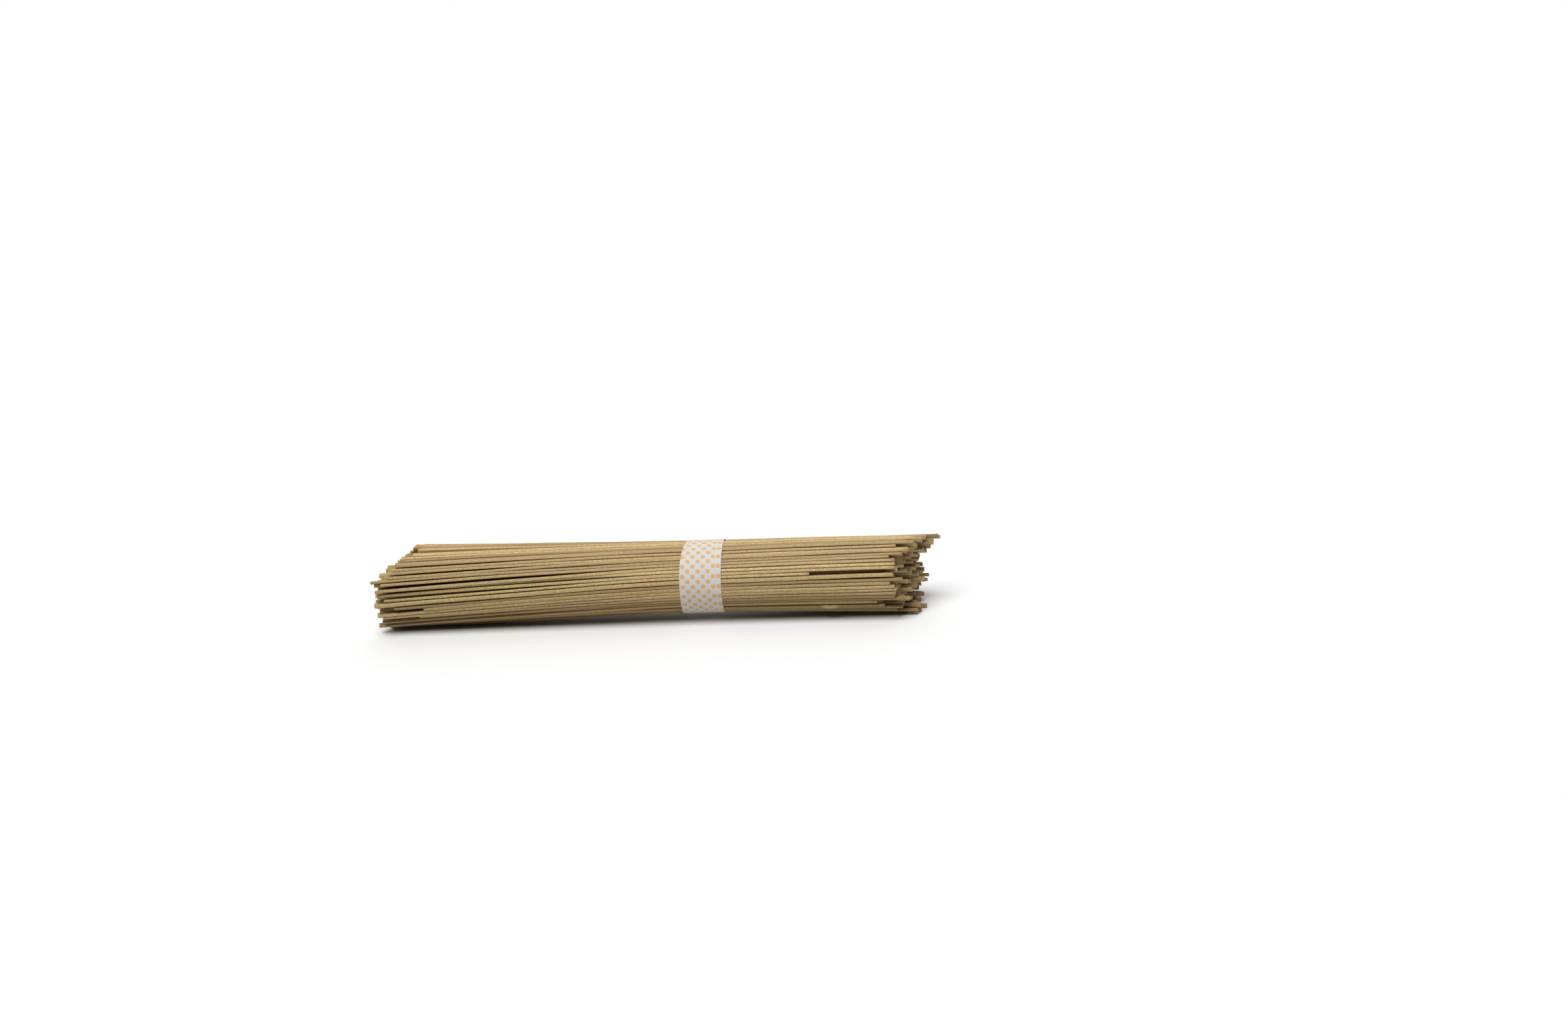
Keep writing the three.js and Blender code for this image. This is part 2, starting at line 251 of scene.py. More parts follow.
def deepest_corner(place, half, direction):
    """The corner of each rectangle furthest along a direction, moving smoothly along a face that is
    square to it: the half sides times the direction's shares along them, clipped at 1."""
    y, z, turn = place.T
    c, s = np.cos(turn), np.sin(turn)
    dy, dz = direction.T
    along_width = np.clip((c * dy + s * dz) / FLUSH, -1, 1) * half[:, 0]
    along_thickness = np.clip((c * dz - s * dy) / FLUSH, -1, 1) * half[:, 1]
    return np.stack([y + c * along_width - s * along_thickness, z + s * along_width + c * along_thickness], 1)


def outward(place):
    """Unit vectors from the middle line to each place."""
    return place[:, :2] / (np.hypot(place[:, 0], place[:, 1])[:, None] + 1e-9)


def rim_distance(place, half):
    """Distance of each rectangle's outermost corner from the middle line."""
    rim = deepest_corner(place, half, outward(place))
    return np.hypot(rim[:, 0], rim[:, 1])


def lowest_corner(place, half):
    """The corner of each rectangle that is nearest to the floor."""
    return deepest_corner(place, half, np.tile((0.0, -1.0), (len(place), 1)))


def overlaps(place, half, a, b):
    """Separating-axis test of the pairs (a, b): the least overlap over the four side directions, the
    unit vector from a to b in which it is least, and whether the corner that digs in is b's."""
    gap = place[b, :2] - place[a, :2]
    c = np.abs(np.cos(place[a, 2] - place[b, 2]))
    s = np.abs(np.sin(place[a, 2] - place[b, 2]))
    depths, ways = [], []
    for owner, other in ((a, b), (b, a)):
        for side in (0, 1):
            angle = place[owner, 2] + side * math.pi / 2
            way = np.stack([np.cos(angle), np.sin(angle)], 1)
            along = (gap * way).sum(1)
            reach = half[other, side] * c + half[other, 1 - side] * s
            depths.append(half[owner, side] + reach - np.abs(along))
            ways.append(way * np.where(along < 0, -1, 1)[:, None])
    depths = np.array(depths)
    least = depths.argmin(0)
    pick = np.arange(len(a))
    return depths[least, pick], np.array(ways)[least, pick], least < 2


def shoves(place, contact, push):
    """Moves (y, z, turn) of rectangles pushed at a contact: the push, and a turn of push times lever."""
    lever = (contact[:, 0] - place[:, 0]) * push[:, 1] - (contact[:, 1] - place[:, 1]) * push[:, 0]
    return np.stack([push[:, 0], push[:, 1], lever * TURN_PER_PUSH], 1)


def settle(place, half, radii, floor):
    """Moves the sections until they hardly overlap, above a floor and inside a circle, in one round for
    each of its radii. In a round every overlap pushes its two sections apart by PUSH times its depth."""
    first, second = np.triu_indices(len(place), 1)
    for radius in radii:
        near = (np.abs(place[second, :2] - place[first, :2]) <= 2 * NOODLE_WIDTH).all(1)
        a, b = first[near], second[near]
        depth, way, by_b = overlaps(place, half, a, b)
        hit = depth > 0
        a, b, depth, way, by_b = a[hit], b[hit], depth[hit], way[hit], by_b[hit]
        digging = np.where(by_b, b, a)
        inward = way * np.where(by_b, -1, 1)[:, None]
        contact = deepest_corner(place[digging], half[digging], inward)
        push = way * (depth * PUSH)[:, None]
        moves = np.zeros_like(place)
        np.add.at(moves, a, shoves(place[a], contact, -push))
        np.add.at(moves, b, shoves(place[b], contact, push))
        rim = deepest_corner(place, half, outward(place))
        distance = np.hypot(rim[:, 0], rim[:, 1])
        excess = np.maximum(distance - radius, 0) / distance
        moves += shoves(place, rim, -rim * excess[:, None])
        foot = lowest_corner(place, half)
        lift = np.maximum(floor - foot[:, 1], 0)
        moves += shoves(place, foot, np.stack([np.zeros_like(lift), lift], 1))
        place = place + moves
    return place


def pack_under_band(draws):
    """Sections spread like a sunflower's seeds, at distance sqrt(i) and i golden angles, those near the
    outline flat or on edge along it, then squeezed together."""
    index = np.arange(NOODLE_COUNT)
    numbers = draws.take(NOODLE_COUNT, 13)
    distance = LOOSE_SPREAD * BUNDLE_RADIUS * np.sqrt((index + 0.5) / NOODLE_COUNT)
    square = index * GOLDEN_ANGLE + np.where(numbers[:, 6] < EDGEWISE_SHARE, 0, math.pi / 2)
    place = np.stack(
        [
            distance * np.cos(index * GOLDEN_ANGLE) + scattered(numbers[:, 0:3], 0.4),
            distance * np.sin(index * GOLDEN_ANGLE) + scattered(numbers[:, 3:6], 0.4),
            np.where(index > SQUARED_SHARE * NOODLE_COUNT, square, numbers[:, 6] * 2 * math.pi),
        ],
        1,
    )
    half = np.stack(
        [
            NOODLE_WIDTH / 2 * (1 + scattered(numbers[:, 7:10], SIZE_SPREAD / 2)),
            NOODLE_THICKNESS / 2 * (1 + scattered(numbers[:, 10:13], SIZE_SPREAD / 2)),
        ],
        1,
    )
    closed = np.minimum(np.arange(PACK_ROUNDS) / SQUEEZE_ROUNDS, 1)
    radii = BUNDLE_RADIUS * (LOOSE_OUTLINE - (LOOSE_OUTLINE - 1) * closed)
    return settle(place, half, radii, -math.inf), half


# ---------------------------------------------------------------- the layout from end to end


def hollowed(place, end):
    """Presses the outer places round one line of the front inwards, by a bell curve over the angle."""
    distance = np.hypot(place[:, 0], place[:, 1])[:, None] + 1e-9
    away = (np.arctan2(place[:, 1], -place[:, 0])[:, None] - HOLLOW_ANGLE) / HOLLOW_SPREAD
    depth = end["hollow"] * np.exp(-away * away) * (distance / end["radius"]) ** 4
    left = 1 - depth / distance
    return place * np.concatenate([left, left, np.ones_like(left)], 1)


def laid_on_floor(place, half, floor):
    """Places where each section that has come down to the floor lies exactly flat on it, by a whole
    number of quarter turns, and which sections those are."""
    quarters = np.round(place[:, 2] / (math.pi / 2))
    level = quarters * math.pi / 2
    foot = lowest_corner(place, half)
    on_floor = (foot[:, 1] < floor + NEARLY_DOWN) & (np.abs(place[:, 2] - level) < NEARLY_DOWN)
    standing = np.where(quarters % 2 == 1, half[:, 0], half[:, 1])
    place[on_floor, 1] = (floor + standing)[on_floor]
    place[on_floor, 2] = level[on_floor]
    return place, on_floor


def fan_out(place, half, end, draws):
    """Places at one end: turned, spread and scattered, and flat where they meet the floor."""
    floor = end["sink"] - end["radius"]
    flare = end["radius"] / BUNDLE_RADIUS
    spread = hollowed(turned(place * (flare, flare, 1), end["twist"]), end)
    numbers = draws.take(len(place), 9)
    spread[:, 0] += scattered(numbers[:, 0:3], end["scatter"])
    spread[:, 1] += scattered(numbers[:, 3:6], end["scatter"])
    spread[:, 2] += scattered(numbers[:, 6:9], end["scatter"] * 0.25)
    spread = settle(spread, half, np.full(FAN_ROUNDS, end["radius"] * FAN_SLACK), floor)
    return laid_on_floor(spread, half, floor)


def middle_height(x):
    """Height of the bundle's middle line over the floor: straight from end to end, plus a parabola."""
    fanned = FANNED_END["radius"] - FANNED_END["sink"]
    even = EVEN_END["radius"] - EVEN_END["sink"]
    share = (x + FANNED_END["reach"]) / (FANNED_END["reach"] + EVEN_END["reach"])
    return fanned + (even - fanned) * share + ARCH_HEIGHT * 4 * share * (1 - share)


def soft_start(share):
    """sqrt(s^2 + b^2) - b of a share s and the band's stiffness b: flat at 0, nearly straight beyond."""
    return np.sqrt(share * share + BAND_STIFFNESS**2) - BAND_STIFFNESS


def leave_band(share):
    """The bend out of the band: a soft start, scaled to reach 1 at the end."""
    return soft_start(share) / soft_start(1.0)


def outline_radius(x):
    """Radius of the bundle's outline at x: from the band's to the end's by leave_band."""
    reach = np.where(x < 0, FANNED_END["reach"], EVEN_END["reach"])
    radius = np.where(x < 0, FANNED_END["radius"], EVEN_END["radius"])
    return BUNDLE_RADIUS + (radius - BUNDLE_RADIUS) * leave_band(np.abs(x) / reach)


def slide_at(y, z):
    """How far noodles at a place of the fanned end have slid towards the even end."""
    top = SLIDE_TOP * smooth_step(z / FANNED_END["radius"], 0.3, 0.95)
    back = SLIDE_BACK * smooth_step(y / FANNED_END["radius"], -0.6, 0.5)
    return np.maximum(top, back) + 0.3 * np.minimum(top, back)


class Bundle:
    """Every noodle's section under the band and at both ends, and where it starts and stops."""

    def __init__(self):
        draws = Draws(SEED)
        self.band, self.half = pack_under_band(draws)
        self.fanned, self.fanned_floor = fan_out(self.band, self.half, FANNED_END, draws)
        self.even, self.even_floor = fan_out(self.band, self.half, EVEN_END, draws)
        numbers = draws.take(NOODLE_COUNT, 2)
        slide = slide_at(self.fanned[:, 0], self.fanned[:, 1]) + SLIDE_RANDOM * numbers[:, 0] ** 1.5
        self.start = slide - FANNED_END["reach"]
        self.stop = self.start + NOODLE_LENGTH - LENGTH_LOSS * numbers[:, 1] ** 2
        near_rim = rim_distance(self.band, self.half) > BUNDLE_RADIUS - OUTER_RIM
        self.outside = near_rim | (rim_distance(self.fanned, self.half) > FANNED_END["radius"] - FANNED_RIM)
        for degrees, start in FRONT_STARTS.items():
            self.start[self.front(degrees)] = start
        for degrees, stop in FRONT_STOPS.items():
            self.stop[self.front(degrees)] = stop

    def front(self, degrees):
        """The outside noodle nearest to an angle over the front's horizontal, seen under the band."""
        angle = math.pi - math.radians(degrees)
        target = BUNDLE_RADIUS * np.array([math.cos(angle), math.sin(angle)])
        gap = np.hypot(*(self.band[:, :2] - target).T)
        return int(np.where(self.outside, gap, np.inf).argmin())

    def sections(self, noodles, x):
        """Places of some noodles (rows) at x (columns): the mix of the band's and the end's by leave_band,
        where one that meets the floor gets there early and lies flat from then on."""
        left = x < 0
        reach = np.where(left, FANNED_END["reach"], EVEN_END["reach"])
        goal = np.where(left[..., None], self.fanned[noodles][:, None], self.even[noodles][:, None])
        on_floor = np.where(left, self.fanned_floor[noodles][:, None], self.even_floor[noodles][:, None])
        along = np.abs(x) / reach
        share = leave_band(np.where(on_floor, np.minimum(along / FLAT_SHARE, 1), along))
        end_height = np.where(left, middle_height(-FANNED_END["reach"]), middle_height(EVEN_END["reach"]))
        floor_height = middle_height(0.0) + (end_height - middle_height(0.0)) * share
        mixed = self.band[noodles][:, None] + (goal - self.band[noodles][:, None]) * share[..., None]
        mixed[..., 1] += np.where(on_floor, floor_height, middle_height(x))
        return mixed


# ---------------------------------------------------------------- meshes


def band_middle():
    """The middle of the paper band in millimetres, where the layout has x = y = 0."""
    low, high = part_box("paper_band")
    middle = (low + high) / 2
    return np.array([middle.x, middle.y, 0.0]) / MM


def quads(a, b, c, d):
    """Rows of four corners from four arrays of point numbers."""
    return np.stack([a, b, c, d], -1).reshape(-1, 4)


def mesh_piece(name, points, faces, node, uv=None, attributes=None):
    """A mesh object from an (n, 3) array in millimetres and an (m, 4) array of corners, -1 for none."""
    mesh = bpy.data.meshes.new(name)
    sides = (faces >= 0).sum(1)
    corners = faces[faces >= 0]
    mesh.vertices.add(len(points))
    mesh.vertices.foreach_set("co", (points * MM).astype(np.float32).ravel())
    mesh.loops.add(len(corners))
    mesh.loops.foreach_set("vertex_index", corners.astype(np.int32))
    mesh.polygons.add(len(faces))
    mesh.polygons.foreach_set("loop_start", np.concatenate([[0], np.cumsum(sides)[:-1]]).astype(np.int32))
    mesh.polygons.foreach_set("loop_total", sides.astype(np.int32))
    mesh.polygons.foreach_set("use_smooth", np.ones(len(faces), bool))
    if uv is not None:
        layer = mesh.uv_layers.new(name="strip")
        layer.data.foreach_set("uv", uv[corners].astype(np.float32).ravel())
    for key, values in (attributes or {}).items():
        layer = mesh.attributes.new(key, "FLOAT_COLOR", "POINT")
        layer.data.foreach_set("color", values.astype(np.float32).ravel())
    mesh.update()
    mesh.validate()
    piece = bpy.data.objects.new(name, mesh)
    bpy.context.scene.collection.objects.link(piece)
    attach(piece, "root")
    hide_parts(node)
    return piece


# ---------------------------------------------------------------- the noodles


def rounded_outline(half, radius):
    """Corners of rounded rectangles (rows), each corner an arc of CORNER_POINTS points, counter-clockwise."""
    radius = radius[:, None, None]
    quarter = np.linspace(0, math.pi / 2, CORNER_POINTS)
    angles = np.concatenate([quarter + side * math.pi / 2 for side in range(4)])
    signs = np.repeat([(1, 1), (-1, 1), (-1, -1), (1, -1)], CORNER_POINTS, axis=0)
    middle = signs[None] * (half[:, None] - radius)
    return middle + radius * np.stack([np.cos(angles), np.sin(angles)], 1)[None]


def tube_faces(count, rings, sides, first):
    """Faces of count tubes of rings times sides points, each end closed by an inset ring and a middle
    point. A tube's points are its rings in order, the start's inset ring, the stop's, and the two middles."""
    ring = np.arange(sides)
    after = (ring + 1) % sides
    level = np.arange(rings - 1)[:, None] * sides
    last = (rings - 1) * sides
    inset_start = rings * sides
    inset_stop = (rings + 1) * sides
    middle_start = np.full(sides, (rings + 2) * sides)
    middle_stop = middle_start + 1
    none = np.full(sides, -1)
    one = np.concatenate(
        [
            quads(level + ring, level + after, level + sides + after, level + sides + ring),
            quads(after, ring, inset_start + ring, inset_start + after),
            quads(last + ring, last + after, inset_stop + after, inset_stop + ring),
            quads(inset_start + after, inset_start + ring, middle_start, none),
            quads(inset_stop + ring, inset_stop + after, middle_stop, none),
        ]
    )
    size = (rings + 2) * sides + 2
    shift = first + np.arange(count)[:, None, None] * size
    return np.where(one[None] >= 0, one[None] + shift, -1).reshape(-1, 4)


def bowed_places(bundle, noodles, x, looks):
    """Places of some noodles at x: the layout's, put off by a sine wave of BOW along what is neither
    under the band nor on the floor."""
    place = bundle.sections(noodles, x)
    free = smooth_step(np.abs(x), BOW_STARTS, BOW_FULL)
    grounded = bundle.fanned_floor[noodles] | bundle.even_floor[noodles]
    for axis in (0, 1):
        length = looks["bow_length"][noodles, axis, None]
        bow = np.sin(x / length + looks["phase"][noodles, axis, None]) * BOW * free
        place[..., axis] += bow * np.where(grounded, 0, 1)[:, None]
    return place


def swollen_outline(bundle, noodles, x, looks):
    """Rounded outlines of some noodles at x, dried by a share of their own and swelling along them:
    times 1 plus 0.025 of a sine wave and 0.015 of a quicker one."""
    half = bundle.half[noodles] * looks["dried"][noodles, None]
    outline = rounded_outline(half, looks["corner"][noodles])
    slow, quick = looks["phase"][noodles].T[..., None]
    swell = 1 + 0.025 * np.sin(x / 11 + slow * 3) + 0.015 * np.sin(x / 4.3 + quick * 5)
    return outline[:, None] * swell[..., None, None]


def noodle_walls(bundle, noodles, steps, looks):
    """Points (noodle, ring, side) of the walls: the outline turned by its place at each x. At both ends
    a point moves along X by its distance aside and up times the slopes of the cut."""
    share = np.linspace(0, 1, steps + 1)
    x = bundle.start[noodles][:, None] * (1 - share) + bundle.stop[noodles][:, None] * share
    place = bowed_places(bundle, noodles, x, looks)
    outline = swollen_outline(bundle, noodles, x, looks)
    c, s = np.cos(place[..., 2])[..., None], np.sin(place[..., 2])[..., None]
    aside = c * outline[..., 0] - s * outline[..., 1]
    up = s * outline[..., 0] + c * outline[..., 1]
    xs = np.repeat(x[..., None], outline.shape[2], axis=2)
    for ring, cut in ((0, looks["start_cut"][noodles]), (-1, looks["stop_cut"][noodles])):
        xs[:, ring] += aside[:, ring] * cut[:, None, 0] + up[:, ring] * cut[:, None, 1]
    return np.stack([xs, place[..., 0, None] + aside, place[..., 1, None] + up], -1)


def end_caps(walls):
    """Points that close the tubes: at the start and at the stop a ring drawn in from the rim towards its
    middle, then the two middles, all standing out a little from the cut."""
    rings = []
    middles = []
    for ring, way in ((0, -1), (-1, 1)):
        rim = walls[:, ring]
        middle = rim.mean(1)
        inset = middle[:, None] + (rim - middle[:, None]) * CAP_INSET
        inset[..., 0] += way * CAP_BULGE
        rings.append(inset)
        middles.append(middle + (way * CAP_MIDDLE, 0, 0))
    return np.concatenate(rings + [np.stack(middles, 1)], 1)


def painted_shade_share(walls):
    """The share of painted shade: 0 on the outer face of each noodle and 1 down its sides, in the grooves
    between the noodles, by the depth below the ring's own rim, or half of it by the depth below the outline,
    which darkens recessed noodles."""
    x, y, z = np.moveaxis(walls, -1, 0)
    distance = np.hypot(y, z - middle_height(x))
    wall = smooth_step(distance.max(2, keepdims=True) - distance, 0.14, 0.6)
    return np.maximum(wall, 0.5 * smooth_step(outline_radius(x) - distance, 0.8, 2.2))


def noodle_tubes(bundle, noodles, steps, first, looks):
    """Points, faces and marks of some noodles. The marks are two colours for each point: shade, warmth, seed
    and 1 on a cut end; and the share of painted shade in a groove, which fades out near the noodle's ends."""
    walls = noodle_walls(bundle, noodles, steps, looks)
    count, rings, sides = walls.shape[:3]
    points = np.concatenate([walls.reshape(count, -1, 3), end_caps(walls)], 1)
    on_walls = rings * sides
    dough = np.repeat(looks["dough"][noodles][:, None], points.shape[1], axis=1)
    dough[..., 3] = 0
    dough[:, on_walls:, 3] = 1
    after_start = walls[..., 0] - bundle.start[noodles][:, None, None]
    before_stop = bundle.stop[noodles][:, None, None] - walls[..., 0]
    fading = smooth_step(np.minimum(after_start, before_stop), 0.5, 4)
    painted_shade_and_tear = np.zeros((count, points.shape[1], 4))
    # painted shade: grooves and recessed noodles darkened, faded out near the noodle's ends
    painted_shade_and_tear[:, :on_walls, 0] = (painted_shade_share(walls) * fading).reshape(count, -1)
    faces = tube_faces(count, rings, sides, first)
    return points.reshape(-1, 3), faces, dough.reshape(-1, 4), painted_shade_and_tear.reshape(-1, 4)


def torn_flake(bundle, noodle, first, draws):
    """A rough pale scar where the outer face of one noodle is torn up: a grid of points that bulges by
    random heights inside a long oval and sinks below the face outside it."""
    grid = np.meshgrid(np.linspace(-1, 1, FLAKE_COLUMNS), np.linspace(-1, 1, FLAKE_ROWS), indexing="ij")
    along, across = grid
    x = FLAKE_AT + along * FLAKE_LENGTH / 2
    place = bundle.sections(np.array([noodle]), x.reshape(1, -1))[0]
    half = np.repeat(bundle.half[[noodle]], len(place), axis=0)
    centre = place - (0, middle_height(0.0), 0)
    way = outward(centre)
    reach = rim_distance(centre, half) - np.hypot(centre[:, 0], centre[:, 1])
    oval = np.clip(1.15 - (along**2 + across**2), 0, 1).ravel()
    rough = draws.take(x.size)
    lift = reach - FLAKE_DEPTH + oval * (FLAKE_DEPTH + FLAKE_HEIGHT * rough)
    aside = across.ravel() * FLAKE_HALF_WIDTH + (draws.take(x.size) - 0.5) * FLAKE_JITTER
    y = place[:, 0] + way[:, 0] * lift - way[:, 1] * aside
    z = place[:, 1] + way[:, 1] * lift + way[:, 0] * aside
    points = np.stack([x.ravel() + (rough - 0.5) * FLAKE_JITTER, y, z], 1)
    index = np.arange(x.size).reshape(x.shape) + first
    faces = quads(index[:-1, :-1], index[:-1, 1:], index[1:, 1:], index[1:, :-1])
    torn = np.tile((0.0, 1.0, 0.0, 1.0), (len(points), 1))
    return points, faces, np.ones((len(points), 4)), torn


def noodle_looks(bundle, draws):
    """What makes each noodle look its own: its dough, darkened by painted shade on the lowest noodles, its
    bow, cuts, dryness and corners.
    """
    numbers = draws.take(NOODLE_COUNT, 14)
    # painted shade: noodles low in the bundle get a darker dough shade
    height = bundle.band[:, 1] / BUNDLE_RADIUS
    numbers[:, 0] *= PAINTED_LOW_SHADE + (1 - PAINTED_LOW_SHADE) * smooth_step(height, -0.8, 0.1)
    looks = {
        "dough": numbers[:, 0:4],
        "phase": numbers[:, 4:6] * 2 * math.pi,
        "bow_length": between(BOW_LENGTH, numbers[:, 6:8]),
        "start_cut": (numbers[:, 8:10] - 0.5) * CUT_SLOPE,
        "stop_cut": (numbers[:, 10:12] - 0.5) * CUT_SLOPE,
        "dried": between(DRIED_SHARE, numbers[:, 12]),
        "corner": between(CORNER_RADIUS, numbers[:, 13]),
    }
    for degrees in SLANTED_FRONTS:
        looks["start_cut"][bundle.front(degrees)] = SLANT
    return looks


def make_noodles(bundle):
    """All the noodles as one mesh, those that show with more steps than those inside."""
    draws = Draws(SEED + 1)
    looks = noodle_looks(bundle, draws)
    near_rim = rim_distance(bundle.band, bundle.half) > BUNDLE_RADIUS - SHOWING_RIM
    showing = near_rim | bundle.outside
    parts = []
    first = 0
    for chosen, steps in ((showing, SHOWING_STEPS), (~showing, HIDDEN_STEPS)):
        parts.append(noodle_tubes(bundle, np.flatnonzero(chosen), steps, first, looks))
        first += len(parts[-1][0])
    parts.append(torn_flake(bundle, bundle.front(FLAKE_FRONT), first, draws))
    points, faces, dough, painted_shade_and_tear = [np.concatenate(group) for group in zip(*parts)]
    points = points + band_middle()
    marks = {"noodle": dough, "painted_shade_and_tear": painted_shade_and_tear}
    piece = mesh_piece("soba_noodles", points, faces, "noodles", attributes=marks)
    piece.data.materials.append(noodle_material())


# ---------------------------------------------------------------- the paper band


def strip_grid():
    """The strip as a grid: how far round it goes (rows), and each row's angle and x across (columns).
    One edge is cut in by a bell curve over the angle, and both lean by the sine of the angle."""
    around = np.linspace(0, 2 * math.pi + STRIP_OVERLAP, STRIP_STEPS)
    angle = STRIP_START + around
    inner = np.linspace(0, 1, STRIP_COLUMNS)[1:-1]
    across = np.concatenate([[0, STRIP_EDGE], inner, [1 - STRIP_EDGE, 1]])
    away = (np.mod(angle + math.pi, 2 * math.pi) - math.pi - TAPER_ANGLE) / TAPER_SPREAD
    lean = BAND_SKEW * np.sin(angle)
    low = -BAND_WIDTH / 2 + BAND_TAPER * np.exp(-away * away) + lean
    high = BAND_WIDTH / 2 + lean
    return around, angle, low[:, None] * (1 - across) + high[:, None] * across


def strip_sheet(radius, angle, x):
    """Points (radius cos angle, radius sin angle) round the bundle's middle line, at x."""
    y = (radius * np.cos(angle))[:, None] + 0 * x
    z = (radius * np.sin(angle))[:, None] + 0 * x
    return np.stack([x, y, z + middle_height(0.0)], -1).reshape(-1, 3)


def make_band():
    """The paper strip: a thin closed sheet wrapped once round the bundle, its end glued over its start.
    Its radius is the bundle's plus one thickness where it passes over itself."""
    around, angle, x = strip_grid()
    lap = smooth_step(around, 2 * math.pi - LAP_STARTS, 2 * math.pi + LAP_DONE)
    radius = BUNDLE_RADIUS + PAPER_GAP + lap * PAPER_THICKNESS * 1.2
    points = np.concatenate([strip_sheet(radius + depth, angle, x) for depth in (PAPER_THICKNESS, 0.0)])
    arc = (around * PRINT_RADIUS)[:, None] + 0 * x
    uv = np.tile(np.stack([arc, x], -1).reshape(-1, 2), (2, 1))
    outer = np.arange(x.size).reshape(x.shape)
    inner = outer + x.size
    faces = np.concatenate(
        [
            quads(outer[:-1, :-1], outer[1:, :-1], outer[1:, 1:], outer[:-1, 1:]),
            quads(inner[:-1, :-1], inner[:-1, 1:], inner[1:, 1:], inner[1:, :-1]),
            quads(outer[:-1, 0], inner[:-1, 0], inner[1:, 0], outer[1:, 0]),
            quads(outer[:-1, -1], outer[1:, -1], inner[1:, -1], inner[:-1, -1]),
            quads(outer[0, :-1], outer[0, 1:], inner[0, 1:], inner[0, :-1]),
            quads(outer[-1, :-1], inner[-1, :-1], inner[-1, 1:], outer[-1, 1:]),
        ]
    )
    piece = mesh_piece("paper_strip", points + band_middle(), faces, "paper_band", uv=uv)
    piece.data.materials.append(paper_material())


# ---------------------------------------------------------------- materials


def linear(red, green, blue):
    """A colour of 8-bit sRGB numbers as the linear colour that the shaders use."""
    channels = np.array([red, green, blue]) / 255
    values = np.where(channels <= 0.04045, channels / 12.92, ((channels + 0.055) / 1.055) ** 2.4)
    return (*values.tolist(), 1.0)


class Nodes:
    """A small helper that adds nodes to a new material and links them."""

    def __init__(self, name):
        self.material = bpy.data.materials.new(name)
        self.material.use_nodes = True
        self.tree = self.material.node_tree
        self.shader = self.tree.nodes["Principled BSDF"]

    def add(self, kind, inputs=None, **settings):
        node = self.tree.nodes.new(kind)
        for key, value in settings.items():
            setattr(node, key, value)
        for key, value in (inputs or {}).items():
            if isinstance(value, bpy.types.NodeSocket):
                self.tree.links.new(value, node.inputs[key])
            else:
                node.inputs[key].default_value = value
        return node

    def into_shader(self, name, value):
        self.tree.links.new(value, self.shader.inputs[name])

    def math(self, operation, a, b=0.0):
        return self.add("ShaderNodeMath", {0: a, 1: b}, operation=operation).outputs[0]

    def mix(self, share, a, b):
        return self.add("ShaderNodeMix", {0: share, 6: a, 7: b}, data_type="RGBA").outputs[2]

    def tinted(self, base, share, amount, colour):
        """The base, gone over to a colour by the amount times the share."""
        return self.mix(self.math("MULTIPLY", share, amount), base, linear(*colour))

    def ramp(self, value, low, high):
        """0 below low, 1 above high, smooth between."""
        limits = {"Value": value, "From Min": low, "From Max": high}
        return self.add("ShaderNodeMapRange", limits, interpolation_type="SMOOTHSTEP").outputs["Result"]

    def noise(self, vector, scale, detail, roughness=0.5):
        """Noise of about scale lumps to the metre, along each axis."""
        mapped = self.add("ShaderNodeMapping", {"Vector": vector, "Scale": scale}).outputs["Vector"]
        settings = {"Vector": mapped, "Scale": 1.0, "Detail": detail, "Roughness": roughness}
        return self.add("ShaderNodeTexNoise", settings).outputs["Fac"]

    def bump(self, height, strength, distance):
        settings = {"Height": height, "Strength": strength, "Distance": distance}
        self.into_shader("Normal", self.add("ShaderNodeBump", settings).outputs[0])


